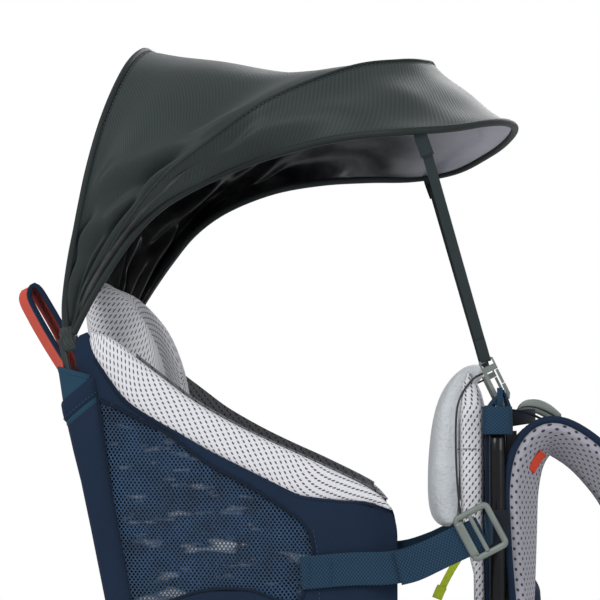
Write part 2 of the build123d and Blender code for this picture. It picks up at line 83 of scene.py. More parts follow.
# ---- lines
def spline(points, count):
    """count points evenly spaced on a smooth curve through points."""
    pts = [Vector(p) for p in points]
    ends = [pts[0] * 2 - pts[1]] + pts + [pts[-1] * 2 - pts[-2]]
    fine = []
    for a, b, c, d in zip(ends, ends[1:], ends[2:], ends[3:]):
        for k in range(12):
            t = k / 12
            fine.append(0.5 * (2 * b + (c - a) * t + (2 * a - 5 * b + 4 * c - d) * t * t
                               + (3 * b - a - 3 * c + d) * t * t * t))
    fine.append(pts[-1])
    return spaced(fine, count)


def spaced(line, count):
    """count points evenly spaced along a polyline."""
    steps = [(b - a).length for a, b in zip(line, line[1:])]
    total, found, i, done = sum(steps), [], 0, 0.0
    for k in range(count):
        want = total * k / (count - 1)
        while i < len(steps) - 1 and done + steps[i] < want:
            done += steps[i]
            i += 1
        share = clamp((want - done) / steps[i]) if steps[i] else 0.0
        found.append(line[i].lerp(line[i + 1], share))
    return found


def mirrored(half):
    """A right half that ends on the middle plane, made whole."""
    return half + [Vector((p.x, -p.y, p.z)) for p in half[-2::-1]]


def hoop(points, count):
    """A whole hoop from (x, y, z) points of its left half, in mm, listed from the base up."""
    half = [vec(x, -y, z) for x, y, z in points]
    return spline(mirrored(half), count)


def bend(points, count):
    """A smooth line through (x, y, z) points in mm."""
    return spline([vec(*p) for p in points], count)


def profile(points, count, y=0.0):
    """A smooth line of (x, z) points in mm, at one y."""
    return bend([(x, y, z) for x, z in points], count)


# ---- meshes
def add_mesh(name, verts, faces, looks, uvs=None, smooth=True):
    """A mesh object; looks holds one material key per slot, with spaces between."""
    mesh = bpy.data.meshes.new(name)
    mesh.from_pydata([tuple(v) for v in verts], [], faces)
    if uvs:
        layer = mesh.uv_layers.new(name="UVMap")
        for loop in mesh.loops:
            layer.data[loop.index].uv = uvs[loop.vertex_index]
    obj = bpy.data.objects.new(name, mesh)
    bpy.context.scene.collection.objects.link(obj)
    for key in looks.split():
        mesh.materials.append(MAT[key])
    for poly in mesh.polygons:
        poly.use_smooth = smooth
    mesh.update()
    return obj


def lengths(points):
    found = [0.0]
    for a, b in zip(points, points[1:]):
        found.append(found[-1] + (b - a).length)
    return found


def net(name, rows, looks):
    """An open sheet over rows of points, with UVs in metres."""
    wide, middle = len(rows[0]), len(rows) // 2
    across = lengths(rows[middle])
    along = lengths([row[wide // 2] for row in rows])
    verts = [p for row in rows for p in row]
    uvs = [(across[i], along[j]) for j in range(len(rows)) for i in range(wide)]
    faces = [(j * wide + i, j * wide + i + 1, (j + 1) * wide + i + 1, (j + 1) * wide + i)
             for j in range(len(rows) - 1) for i in range(wide - 1)]
    return add_mesh(name, verts, faces, looks, uvs)


def loft(name, rings, look):
    """A closed solid through rings of points, capped at both ends, with UVs in metres."""
    count = len(rings[0])
    along = lengths([sum(ring, Vector()) / count for ring in rings])
    verts, uvs = [], []
    for ring, v in zip(rings, along):
        round_it = lengths(list(ring) + [ring[0]])
        verts += list(ring) + [ring[0]]
        uvs += [(u, v) for u in round_it]
    row = count + 1
    faces = [(j * row + i, j * row + i + 1, (j + 1) * row + i + 1, (j + 1) * row + i)
             for j in range(len(rings) - 1) for i in range(count)]
    faces.append(tuple(range(count))[::-1])
    last = (len(rings) - 1) * row
    faces.append(tuple(last + i for i in range(count)))
    obj = add_mesh(name, verts, faces, look, uvs)
    weld = bmesh.new()
    weld.from_mesh(obj.data)
    bmesh.ops.remove_doubles(weld, verts=weld.verts, dist=1e-6)
    bmesh.ops.recalc_face_normals(weld, faces=weld.faces)
    weld.to_mesh(obj.data)
    weld.free()
    return obj


def oval(centre, side, deep, power=0.6, count=20):
    """A rounded ring about centre: side and deep are half-size vectors."""
    ring = []
    for k in range(count):
        a = 2 * pi * (k + 0.5) / count
        c, s = cos(a), sin(a)
        across, up = copysign(abs(c) ** power, c), copysign(abs(s) ** power, s)
        ring.append(centre + side * across + deep * up)
    return ring


def tangents(line):
    last = len(line) - 1
    return [(line[min(i + 1, last)] - line[max(i - 1, 0)]).normalized() for i in range(len(line))]


def strap(name, line, width, thick, look, across=OUT, twist=None, power=0.35, count=16):
    """Webbing or a padded strap along a line, width and thick in mm.

    across is the direction of its width, and twist(share of its length) its turn in degrees.
    """
    rings = []
    for i, (p, along) in enumerate(zip(line, tangents(line))):
        wide = (across - along * across.dot(along)).normalized()
        deep = along.cross(wide).normalized()
        if twist:
            a = radians(twist(i / (len(line) - 1)))
            wide, deep = wide * cos(a) + deep * sin(a), deep * cos(a) - wide * sin(a)
        rings.append(oval(p, wide * (width * MM / 2), deep * (thick * MM / 2), power, count))
    return loft(name, rings, look)


def round_off(rings):
    """Shrinks the first and last rings so that the ends close softly."""
    for n, k in enumerate((0.45, 0.8, 0.96)):
        for at in (n, -1 - n):
            centre = sum(rings[at], Vector()) / len(rings[at])
            rings[at] = [centre + (p - centre) * k for p in rings[at]]
    return rings


def add_curve(name, lines, radius, look, resolution, caps=False, cyclic=False):
    curve = bpy.data.curves.new(name, "CURVE")
    curve.dimensions = "3D"
    curve.bevel_depth = radius * MM
    curve.bevel_resolution = resolution
    curve.use_fill_caps = caps
    for line in lines:
        run = curve.splines.new("POLY")
        run.points.add(len(line) - 1)
        for point, where in zip(run.points, line):
            point.co = (*where, 1)
        run.use_cyclic_u = cyclic
    obj = bpy.data.objects.new(name, curve)
    bpy.context.scene.collection.objects.link(obj)
    curve.materials.append(MAT[look])
    return obj


def pipe(name, line, radius, look, cyclic=False):
    """A round cord of fabric or wire along a line; radius in mm."""
    return add_curve(name, [line], radius, look, 3, True, cyclic)


def stitches(name, line, look, pitch=4.2, radius=0.35):
    """A row of short thread stitches laid along a line; pitch and radius in mm."""
    dense = spaced(line, max(4, int(lengths(line)[-1] / (pitch * MM)) * STITCH_STEPS))
    parts = [dense[k:k + THREAD_STEPS + 1] for k in range(0, len(dense) - STITCH_STEPS, STITCH_STEPS)]
    return add_curve(name, parts, radius, look, 1)


def thicken(obj, thickness, offset=0.0, inner=0):
    """Gives a sheet its thickness in mm; inner is the material index of its back."""
    mod = obj.modifiers.new("thickness", "SOLIDIFY")
    mod.thickness = thickness * MM
    mod.offset = offset
    mod.material_offset = inner
    return obj


def place(obj, body, *nodes, side=1):
    """Rides a piece on its body. The left piece of a pair stands for the CAD nodes."""
    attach(obj, body)
    if nodes and side == 1:
        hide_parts(*nodes)
    return obj


def smooth_more(obj, levels=1):
    mod = obj.modifiers.new("smooth", "SUBSURF")
    mod.levels = mod.render_levels = levels
    return obj


def inside(point, outline):
    """True if an (x, z) point is in an outline."""
    x, z = point
    found = False
    for (x0, z0), (x1, z1) in zip(outline, outline[1:] + outline[:1]):
        if (z0 > z) != (z1 > z) and x < (x1 - x0) * (z - z0) / (z1 - z0) + x0:
            found = not found
    return found


# Cushions: cloth pressure, frames run, and in mm how far the solid is drawn in and a point may move
PRESSURE, BLOW_FRAMES, DRAW_IN, BLOW_CAP = 4.0, 14, 3.0, 6.0


def inflated(name, node, look, voxel):
    """A cushion: the CAD solid remeshed at a voxel in mm, drawn in, and blown up as cloth."""
    source = bpy.data.objects[node]
    obj = bpy.data.objects.new(name, source.data.copy())
    bpy.context.scene.collection.objects.link(obj)
    obj.data.materials.clear()
    obj.data.materials.append(MAT[look])
    bpy.context.view_layer.objects.active = obj
    obj.select_set(True)
    remesh = obj.modifiers.new("even", "REMESH")
    remesh.mode = "VOXEL"
    remesh.voxel_size = voxel * MM
    settle = obj.modifiers.new("settle", "SMOOTH")
    settle.iterations = 6
    draw_in = obj.modifiers.new("shrink", "DISPLACE")
    draw_in.strength = -DRAW_IN * MM
    draw_in.mid_level = 0
    for mod in ("even", "settle", "shrink"):
        bpy.ops.object.modifier_apply(modifier=mod)
    blow(obj)
    obj.select_set(False)
    for poly in obj.data.polygons:
        poly.use_smooth = True
    return smooth_more(obj)


def blow(obj):
    """Runs the frames of pressurised cloth, then keeps each point within BLOW_CAP of its start."""
    start = [v.co.copy() for v in obj.data.vertices]
    cloth = obj.modifiers.new("cloth", "CLOTH")
    cloth.settings.quality = 4
    cloth.settings.use_pressure = True
    cloth.settings.uniform_pressure_force = PRESSURE
    cloth.settings.effector_weights.gravity = 0
    cloth.collision_settings.use_collision = False
    for number in range(1, BLOW_FRAMES + 1):
        bpy.context.scene.frame_set(number)
    bpy.ops.object.modifier_apply(modifier="cloth")
    bpy.context.scene.frame_set(1)
    for vertex, where in zip(obj.data.vertices, start):
        move = vertex.co - where
        if move.length > BLOW_CAP * MM:
            vertex.co = where + move.normalized() * BLOW_CAP * MM


# ---- materials
class Look:
    """A Principled material with short calls for adding nodes."""

    def __init__(self, name, rough=0.8, **sockets):
        self.mat = bpy.data.materials.new(name)
        self.mat.use_nodes = True
        self.tree = self.mat.node_tree
        self.shader = self.tree.nodes["Principled BSDF"]
        self.shader.inputs["Roughness"].default_value = rough
        for key, value in sockets.items():
            self.shader.inputs[key.replace("_", " ")].default_value = value

    def add(self, kind, inputs=None, **settings):
        node = self.tree.nodes.new("ShaderNode" + kind)
        for key, value in settings.items():
            setattr(node, key, value)
        for key, value in (inputs or {}).items():
            if isinstance(value, bpy.types.NodeSocket):
                self.tree.links.new(value, node.inputs[key])
            else:
                node.inputs[key].default_value = value
        return node

    def math(self, kind, a, b=0.0, c=None):
        inputs = {0: a, 1: b} if c is None else {0: a, 1: b, 2: c}
        return self.add("Math", inputs, operation=kind).outputs[0]

    def mul(self, a, b):
        return self.math("MULTIPLY", a, b)

    def plus(self, a, b):
        return self.math("ADD", a, b)

    def set(self, key, socket):
        self.tree.links.new(socket, self.shader.inputs[key])

    def flat(self, plane):
        """Two coordinates in metres, along the surface: from the UVs, or a plane of the object."""
        source = self.add("TexCoord").outputs["UV" if plane == "UV" else "Object"]
        split = self.add("SeparateXYZ", {0: source})
        return [split.outputs[{"U": 0, "X": 0, "V": 1, "Y": 1, "Z": 2}[axis]] for axis in plane]

    def sine(self, socket, period):
        return self.math("SINE", self.mul(socket, 2 * pi / period))

    def noise(self, scale, detail=3.0, coordinates=None):
        where = coordinates or self.add("TexCoord").outputs["Object"]
        return self.add("TexNoise", {"Vector": where, "Scale": scale, "Detail": detail}).outputs["Fac"]

    def mix(self, share, a, b):
        a, b = (c if isinstance(c, bpy.types.NodeSocket) else (*c, 1) for c in (a, b))
        return self.add("Mix", {"Factor": share, 6: a, 7: b}, data_type="RGBA").outputs[2]

    def holes(self, u, v, pitch, size, slant=0.0):
        """Mask, 1 in the holes of a staggered lattice; pitch and half-size in mm, slant in radians."""
        c, s = cos(slant), sin(slant)
        nearest = None
        for shift in (0.0, 0.5):
            a, b = (self.math("SUBTRACT", self.math("FRACT", self.plus(
                self.math("DIVIDE", axis, step * MM), shift)), 0.5) for axis, step in zip((u, v), pitch))
            along = self.plus(self.mul(a, c * pitch[0] / size[0]), self.mul(b, -s * pitch[1] / size[0]))
            up = self.plus(self.mul(a, s * pitch[0] / size[1]), self.mul(b, c * pitch[1] / size[1]))
            far = self.plus(self.mul(along, along), self.mul(up, up))
            nearest = far if nearest is None else self.math("MINIMUM", nearest, far)
        return self.ramp(nearest, 1.45, 0.6)

    def ramp(self, socket, low, high):
        return self.add("MapRange", {"Value": socket, "From Min": low, "From Max": high}).outputs[0]

    def bump(self, height, strength, distance):
        bumps = {"Height": height, "Strength": strength, "Distance": distance}
        self.set("Normal", self.add("Bump", bumps).outputs[0])


def scaled(colour, k):
    return tuple(c * k for c in colour)


def woven(name, colour, pitch=1.0, plane="UV", rough=0.85, contrast=0.25, twill=False, sheen=0.02, depth=0.3):
    """Woven cloth: over-and-under threads at a pitch in mm, or diagonal twill ribs."""
    look = Look(name, rough, Sheen_Weight=sheen, Sheen_Roughness=0.5, Specular_IOR_Level=0.22)
    u, v = look.flat(plane)
    if twill:
        thread = look.sine(look.plus(u, v), pitch * MM)
        thread = look.plus(look.mul(thread, 0.7), look.mul(look.sine(u, pitch * 0.55 * MM), 0.3))
    else:
        thread = look.mul(look.sine(u, pitch * 2 * MM), look.sine(v, pitch * 1.6 * MM))
    thread = look.math("MULTIPLY_ADD", thread, 0.5, 0.5)
    cloudy = look.ramp(look.noise(14.0), 0.3, 0.7)
    base = look.mix(thread, scaled(colour, 1 - contrast), scaled(colour, 1 + contrast))
    base = look.mix(look.mul(cloudy, 0.22), base, scaled(colour, 1.6))
    look.set("Base Color", base)
    look.bump(look.plus(thread, look.mul(look.noise(900.0, 2.0), 0.5)), depth, 0.4 * MM)
    return look.mat


AIR_MESH_SLANT = -0.45


def air_mesh(name, colour, plane="UV", pitch=(5.2, 7.0), size=(0.62, 1.5), dark=0.10):
    """Perforated spacer mesh: slanted oval holes in staggered rows, over a fine knit; the holes are painted
    dark as painted shade in their depth.
    """
    look = Look(name, 0.9, Sheen_Weight=0.1, Sheen_Roughness=0.6)
    u, v = look.flat(plane)
    open_hole = look.holes(u, v, pitch, size, AIR_MESH_SLANT)
    knit = look.mul(look.sine(u, 1.3 * MM), look.sine(v, 1.5 * MM))
    cloudy = look.ramp(look.noise(18.0), 0.3, 0.75)
    cloth = look.mix(look.ramp(knit, -1.0, 1.0), scaled(colour, 0.86), colour)
    cloth = look.mix(look.mul(cloudy, 0.25), cloth, scaled(colour, 0.82))
    # The holes take a dark share of the colour, as painted shade in their depth.
    look.set("Base Color", look.mix(open_hole, cloth, scaled(colour, dark)))
    look.bump(look.math("SUBTRACT", look.mul(knit, 0.12), open_hole), 0.75, 0.9 * MM)
    return look.mat


def open_mesh(name, colour):
    """Stretch netting that is really open: threads round see-through holes."""
    look = Look(name, 0.75)
    u, v = look.flat("XZ")
    warp = look.mul(look.math("SUBTRACT", look.noise(9.0), 0.5), 0.012)
    hole = look.holes(look.plus(u, warp), look.plus(v, warp), (3.3, 4.6), (0.95, 1.05))
    thread = look.math("SUBTRACT", 1.0, hole)
    look.set("Alpha", thread)
    cloudy = look.ramp(look.noise(60.0), 0.3, 0.7)
    look.set("Base Color", look.mix(cloudy, scaled(colour, 0.7), scaled(colour, 1.5)))
    look.bump(thread, 0.5, 0.4 * MM)
    return look.mat


def moulded(name, colour, rough=0.45, speck=0.12, grain=700.0, shine=0.5):
    """Moulded plastic, rubber or painted metal with a fine grain and faint wear."""
    look = Look(name, rough, Specular_IOR_Level=shine)
    soft = look.ramp(look.noise(35.0), 0.35, 0.75)
    look.set("Base Color", look.mix(soft, scaled(colour, 1 - speck), scaled(colour, 1 + speck * 1.6)))
    look.set("Roughness", look.math("MULTIPLY_ADD", look.noise(90.0), 0.18, rough - 0.09))
    look.bump(look.noise(grain, 2.0), 0.12, 0.2 * MM)
    return look.mat


def plush(name, colour):
    """Brushed short pile."""
    look = Look(name, 0.95, Sheen_Weight=0.5, Sheen_Roughness=0.4)
    pile = look.noise(420.0, 4.0)
    brushed = look.ramp(look.noise(26.0, 5.0), 0.32, 0.7)
    base = look.mix(brushed, scaled(colour, 0.86), scaled(colour, 1.05))
    look.set("Base Color", look.mix(look.mul(pile, 0.4), base, scaled(colour, 0.75)))
    look.bump(look.plus(pile, look.mul(brushed, 2.0)), 0.8, 1.6 * MM)
    return look.mat


def creased(name, colour, pale):
    """Dark lining with long pale streaks and patches painted on as painted glints, over a creased bump."""
    look = Look(name, 0.8, Specular_IOR_Level=0.25)
    where = look.add("Mapping", {"Vector": look.add("TexCoord").outputs["Object"],
                                 "Rotation": (0, -0.75, 0), "Scale": (0.8, 0.2, 2.6)}).outputs[0]
    # The pale patches and streaks are painted glints: painted highlight laid by stretched noise.
    glint_patch = look.ramp(look.noise(17.0, 2.0, where), 0.625, 0.665)
    glint_streak = look.ramp(look.noise(46.0, 3.0, where), 0.60, 0.68)
    share = look.math("MAXIMUM", glint_patch, look.mul(glint_streak, 0.45))
    look.set("Base Color", look.mix(share, colour, pale))
    look.bump(look.noise(70.0, 4.0, where), 0.6, 2.0 * MM)
    return look.mat


def lining(name):
    """Coated inside of the roof: painted shade makes it dark deeper under the roof, and painted light makes
    it pale towards its front tip.
    """
    look = Look(name, 0.34, Coat_Weight=0.25, Coat_Roughness=0.25)
    x, _ = look.flat("XZ")
    # front fades the lining from painted shade, dark under the roof, to painted light, pale at its front tip.
    front = look.ramp(x, -0.010, 0.085)
    creases = look.noise(46.0, 4.0)
    # The crease noise also darkens the hollows of the creases as painted shade, besides giving the bump.
    dark = look.mix(look.ramp(creases, 0.4, 0.75), (0.006, 0.006, 0.007), (0.035, 0.036, 0.037))
    look.set("Base Color", look.mix(front, dark, (0.36, 0.36, 0.42)))
    look.bump(creases, 0.35, 3.0 * MM)
    return look.mat


NAVY = (0.0044, 0.0135, 0.033)
MAT = {
    "navy": woven("navy_cloth", NAVY, 0.8, contrast=0.2),
    "navy_xz": woven("navy_cloth_side", NAVY, 0.8, "XZ", contrast=0.2),
    "navy_yz": woven("navy_cloth_back", NAVY, 0.8, "YZ", contrast=0.2),
    "binding": woven("navy_binding", scaled(NAVY, 0.6), 0.9, "XZ", contrast=0.3),
    "webbing": woven("navy_webbing", (0.0095, 0.031, 0.058), 1.7, contrast=0.75, depth=0.7),
    "webbing_dark": woven("dark_webbing", (0.0085, 0.011, 0.016), 1.1, contrast=0.55, depth=0.7),
    "roof_strap": woven("roof_webbing", (0.022, 0.030, 0.032), 1.1, contrast=0.6, depth=0.8),
    "roof": woven("roof_twill", (0.0185, 0.0255, 0.0245), 4.0, rough=0.58, contrast=0.34, twill=True,
                  sheen=0.10, depth=0.35),
    "hem": woven("roof_hem", (0.011, 0.0155, 0.0155), 1.5, "XZ", rough=0.6, contrast=0.3),
    "lining": lining("roof_lining"),
    "thread": woven("thread", (0.05, 0.06, 0.06), 0.4, "XZ", contrast=0.4),
    "thread_blue": woven("thread_blue", (0.02, 0.055, 0.095), 0.4, "XZ", contrast=0.4),
    "pocket": woven("pocket_cloth", (0.010, 0.038, 0.066), 1.6, "XZ", contrast=0.35),
    # The pale second colour of the creased lining is painted glints.
    "creased": creased("creased_lining_painted_glints", (0.006, 0.020, 0.048), (0.66, 0.68, 0.72)),
    "mesh_white": air_mesh("air_mesh_white", (0.69, 0.68, 0.71)),
    "mesh_yz": air_mesh("air_mesh_back", (0.70, 0.70, 0.73), "YZ"),
    "mesh_xy": air_mesh("air_mesh_seat", (0.62, 0.62, 0.65), "XY"),
    "mesh_xz": air_mesh("air_mesh_side", (0.70, 0.70, 0.73), "XZ"),
    "mesh_strap": air_mesh("air_mesh_strap", (0.33, 0.32, 0.365), "UV", (8.4, 8.4), (1.15, 1.25), 0.05),
    "mesh_dark": air_mesh("air_mesh_inner", (0.11, 0.11, 0.12), "XZ", dark=0.15),
    "window": open_mesh("window_mesh", (0.008, 0.030, 0.068)),
    "plush": plush("plush_grey", (0.56, 0.59, 0.61)),
    "plastic": moulded("grey_plastic", (0.145, 0.165, 0.15), 0.42),
    "black_plastic": moulded("black_plastic", (0.012, 0.012, 0.013), 0.5),
    "tube": moulded("tube_black", (0.003, 0.003, 0.0035), 0.22, grain=120.0, shine=0.3),
    "rubber": moulded("black_rubber", (0.012, 0.012, 0.012), 0.75, grain=300.0),
    "red": woven("red_webbing", (0.52, 0.05, 0.022), 0.9, contrast=0.25),
    "lime": woven("lime_cord", (0.42, 0.52, 0.03), 0.9, "XZ", contrast=0.3),
    "floor": moulded("floor", (0.86, 0.86, 0.86), 0.8, 0.02, 60.0),
}


# ---- roof
STATIONS = 145
REAR_LINE = [(-264, 137, 757), (-265.5, 139, 786), (-262, 143, 812), (-256, 147, 842), (-251, 149, 867),
             (-245, 148, 896), (-237, 138, 931), (-229, 118, 962), (-221, 89, 989), (-215, 47, 1007),
             (-213, 0, 1013)]
MID_LINE = [(-261, 137, 760), (-254, 139, 780), (-242, 140, 803), (-217, 145, 846), (-184, 148, 887),
            (-148, 147, 916), (-96, 138, 953), (-32, 117, 981), (9, 86, 991), (29, 48, 996), (36, 0, 1000)]
RIM_LINE = [(-259, 137, 759), (-247, 137, 783), (-231, 137, 810), (-210, 136, 840), (-187, 125, 865),
            (-156, 114, 885), (-114, 119, 902), (-71, 141, 912), (-29, 166, 917), (14, 179, 919),
            (54, 160, 924), (84, 115, 934), (100, 66, 940), (107, 0, 943)]
ROOF_CORE = vec(-90, 0, 850)


def crease(share, height, seed):
    """Offset in metres of the gathered folds: strong by the knot, fading upwards."""
    fade = exp(-(height / 0.13) ** 2)
    far = exp(-(height / 0.30) ** 2)
    near_folds = sin(2 * pi * (share * 3.0 + seed)) * 5.6 * fade
    long_folds = sin(2 * pi * (share * 1.6 + seed * 1.7)) * 4.8 * far
    return (near_folds + long_folds) * MM


def drag_folds(folds, t, s):
    """Height in metres of the pulled folds that run slantwise from one hoop to the next."""
    near = min(t, 1 - t)
    total = 0.0
    for start, end, height, wide in folds:
        off = near - (start + (end - start) * s)
        ridge, valley = exp(-(off / wide) ** 2), exp(-((off + 1.7 * wide) / wide) ** 2)
        total += height * MM * (ridge - 0.8 * valley)
    return total * sin(pi * clamp(s * 0.9 + 0.05)) ** 0.6


def roof_rows(line_a, line_b, count, sag, seed, folds):
    """Rows of points between two hoops, sagging inwards, with folds that run up from the knots."""
    rows = []
    for j in range(count):
        s = j / (count - 1)
        row = []
        for i, (a, b) in enumerate(zip(line_a, line_b)):
            t = i / (len(line_a) - 1)
            p = a.lerp(b, s)
            inward = (ROOF_CORE - p).normalized()
            arch = sin(pi * s)
            crown = ease(sin(pi * t) * 1.3 - 0.15)
            height = min((p - line_a[0]).length, (p - line_a[-1]).length)
            wave = crease(s, height, seed) * ease(arch * 2) * ease(height / 0.05)
            ripple = noise.noise(p * 17 + Vector((seed, 0, 0))) * 2.4 * MM * arch
            pulled = drag_folds(folds, t, s) * ease(arch * 3)
            row.append(p + inward * (arch * sag * MM * (0.3 + 0.7 * crown) + wave + ripple - pulled))
        rows.append(row)
    return rows


def roof_sheet(name, rows, node):
    """One cloth panel of the roof, dark outside and coated inside."""
    obj = net(name, rows, "roof lining")
    middle = obj.data.polygons[len(obj.data.polygons) // 2]
    if middle.normal.dot(ROOF_CORE - middle.center) > 0:
        obj.data.flip_normals()
    thicken(obj, 1.1, -1.0, 1)
    smooth_more(obj)
    place(obj, "roof", node)


def build_roof():
    rear, mid, rim = (hoop(points, STATIONS) for points in (REAR_LINE, MID_LINE, RIM_LINE))
    top = roof_rows(rear, mid, 25, 12.0, 0.15, ((0.165, 0.25, 6.0, 0.022), (0.10, 0.17, 4.5, 0.016)))
    visor = roof_rows(mid, rim, 21, 2.5, 0.6, ((0.27, 0.15, 3.6, 0.016), (0.19, 0.10, 3.2, 0.012),
                                            (0.345, 0.37, 1.6, 0.02)))
    roof_sheet("roof_top_cloth", top, "roof_top_panel")
    roof_sheet("roof_visor_cloth", visor, "roof_front_panel")
    hem = hoop([(-266, 137, 762), (-270, 110, 800), (-270, 60, 812), (-270, 0, 815)], STATIONS)
    back = [[a.lerp(b, s) - FORWARD * 3 * MM * sin(pi * s) for a, b in zip(rear, hem)]
            for s in (j / 8 for j in range(9))]
    roof_sheet("roof_back_cloth", back, "roof_rear_panel")
    for label, line, radius in (("rear", rear, 2.6), ("mid", mid, 1.5), ("rim", rim, 3.3)):
        place(pipe(f"roof_{label}_piping", line, radius, "hem"), "roof", f"roof_{label}_wire")
    hems = (("rim", visor[-1], visor[-2], 0.45), ("mid_front", visor[0], visor[1], 0.5),
            ("mid_back", top[-1], top[-2], 0.5), ("rear", top[0], top[1], 0.5))
    for name, edge, near, share in hems:
        line = [p + (p - ROOF_CORE).normalized() * 0.7 * MM
                for p in (a.lerp(b, share) for a, b in zip(edge, near))][12:-12]
        place(stitches(f"roof_stitches_{name}", line, "thread"), "roof")


def pole_point(z, side, offset):
    """Point on the leaning pole line at height z, moved forward by an offset in mm."""
    return vec(rear_x(z), side * SIDE_Y, z) + RAKE_FORWARD * offset * MM


def build_gather(name, side):
    """Knotted cloth round the two poles, and the poles below it."""
    rings = []
    sizes = ((744, 5.4), (746, 6.4), (749, 6.9), (752, 6.3), (755, 5.8), (758, 6.3), (762, 6.5), (765, 4.6))
    for z, size in sizes:
        centre = pole_point(z, side, 0.6)
        ring = oval(centre, RAKE_FORWARD * size * MM, OUT * size * 0.72 * MM, 0.85, 28)
        folds = []
        for n, p in enumerate(ring):
            a = 2 * pi * n / 28
            swell = 1 + 0.14 * sin(6 * a + z * 0.22) + 0.10 * sin(10 * a - z * 0.3)
            folds.append(centre + (p - centre) * swell)
        rings.append(folds)
    place(smooth_more(loft(f"roof_knot_{name}", rings, "roof")), "roof", "roof_gathers", side=side)
    for label, offset, lean in (("rear", -4.6, -0.6), ("front", 4.8, 1.2)):
        line = [pole_point(z, side, offset + lean * (z - 700) / 60) for z in (664, 690, 716, 742, 756)]
        place(pipe(f"roof_pole_{label}_{name}", spline(line, 12), 3.0, "black_plastic"), "roof")


HOOK_TOP = (80, 108, 738)
HOOK_TILT = radians(26.0)


def build_roof_strap(name, side):
    """Webbing from the rim to the gate hook, with its turned-back end."""
    down = Vector((sin(HOOK_TILT), 0, -cos(HOOK_TILT)))
    slot = vec(HOOK_TOP[0], side * HOOK_TOP[1], HOOK_TOP[2]) + down * 2.2 * MM
    top = vec(31, side * 171, 913)
    across = (slot - top).cross(OUT).normalized()
    line = [top.lerp(slot, k / 20) for k in range(21)]
    place(strap(f"roof_tape_{name}", line, 8.4, 1.5, "roof_strap", across), "roof", "roof_straps", side=side)
    lift = OUT * side * 1.7 * MM
    fold = [slot + lift, slot.lerp(top, 0.03) + lift * 1.2, slot.lerp(top, 0.10) + lift]
    place(strap(f"roof_tape_end_{name}", spline(fold, 9), 8.6, 1.5, "roof_strap", across), "roof")
    tab = [top + vec(-3, side * 2, 9), top + vec(-1.5, side * 2, 2), top.lerp(slot, 0.07) + lift * 0.8]
    place(strap(f"roof_tape_tab_{name}", spline(tab, 9), 11, 1.4, "roof_strap", across), "roof")


# ---- cockpit
WINDOW = [(-238, 705), (-228, 700), (-217, 695), (-200, 686), (-181, 677), (-147, 652), (-112, 633),
          (-71, 606), (-60, 585), (-64, 560), (-75, 537), (-112, 549), (-152, 548), (-196, 533), (-211, 528)]
TOP_EDGE = [(-262, 744), (-254, 757), (-247, 760), (-240, 752), (-228, 732), (-208, 701), (-183, 685),
            (-147, 663), (-71, 626), (-40, 622), (-8, 621), (0, 617), (6, 608), (9, 598)]
PANEL_LOW, PANEL_TALL = 302, 462
PANEL_REAR, PANEL_LONG = -262, 274
PANEL_FRONT = 8
CELL = 3


def height_at(line, x):
    """Height of an (x, z) line at x."""
    for (x0, z0), (x1, z1) in zip(line, line[1:]):
        if x0 <= x <= x1:
            return z0 + (z1 - z0) * (x - x0) / (x1 - x0)
    return line[0][1] if x < line[0][0] else line[-1][1]


def panel_front(z):
    """Front edge of the side panel, rounded at its top and drawn back towards the seat."""
    top = 9 * (1 - sqrt(max(0.0, 1 - clamp((z - 592) / 22) ** 2)))
    return PANEL_FRONT - 28 * clamp((420 - z) / 118) - top


def panel_y(x, z):
    """How far out the side panel stands: bulging a little, and turning in at its front edge."""
    turn = ease((x + 34) / 44)
    bulge = 3.0 * sin(pi * clamp((x + 240) / 250)) * sin(pi * clamp((z - 300) / 400))
    ripple = 1.2 * noise.noise(Vector((x, z, 0)) / 60)
    return 139.5 + bulge + ripple - 11.0 * turn * turn


def grid_cloth(name, side, in_window, look, out=0.0):
    """Cloth in CELL steps over the side panel's plane, either in its window or round it."""
    xs = range(PANEL_REAR, PANEL_REAR + PANEL_LONG + 1, CELL)
    zs = range(PANEL_LOW, PANEL_LOW + PANEL_TALL + 1, CELL)
    verts, faces, index = [], [], {}

    def corner(column, row):
        if (column, row) not in index:
            index[column, row] = len(verts)
            x = clamp(column, rear_x(row) + 4, panel_front(row) - (10 if side > 0 else 0))
            z = min(row, height_at(TOP_EDGE, x))
            verts.append(vec(x, side * (panel_y(x, z) + out), z))
        return index[column, row]

    for rear, front in zip(xs, xs[1:]):
        for low, high in zip(zs, zs[1:]):
            x, z = rear + CELL / 2, low + CELL / 2
            fits = rear_x(z) + 4 - CELL < x < panel_front(z) + CELL and z < height_at(TOP_EDGE, x) + CELL / 2
            if fits and inside((x, z), WINDOW) == in_window:
                faces.append((corner(rear, low), corner(front, low), corner(front, high), corner(rear, high)))
    obj = add_mesh(name, verts, faces, look, [(v.x, v.z) for v in verts])
    if side < 0:
        obj.data.flip_normals()
    return obj


def panel_line(points, side, count, out=0.0):
    """A smooth line of (x, z) points laid on the side panel."""
    return [vec(p.x / MM, side * (panel_y(p.x / MM, p.z / MM) + out), p.z / MM)
            for p in profile(points, count)]


def build_side(name, side):
    """Side panel with its mesh window, bound edges, seams and padded rim."""
    cloth = grid_cloth(f"side_cloth_{name}", side, False, "navy_xz")
    place(thicken(cloth, 1.6), "root", "side_panels", side=side)
    mesh = grid_cloth(f"window_{name}", side, True, "window", -1.0)
    place(mesh, "root", "side_meshes", side=side)
    edge = panel_line(WINDOW + WINDOW[:1], side, 90, 0.6)
    place(pipe(f"window_binding_{name}", edge, 1.3, "binding"), "root")
    for label, points in (("front", [(-60, 598), (-55, 560), (-58, 480), (-64, 400), (-70, 304)]),
                          ("low", [(-207, 520), (-150, 536), (-110, 540), (-74, 530)])):
        line = panel_line(points, side, 40, 1.0)
        place(stitches(f"side_seam_{label}_{name}", line, "thread_blue"), "root")
    build_rim_pad(name, side)
    build_inner_lining(name, side)


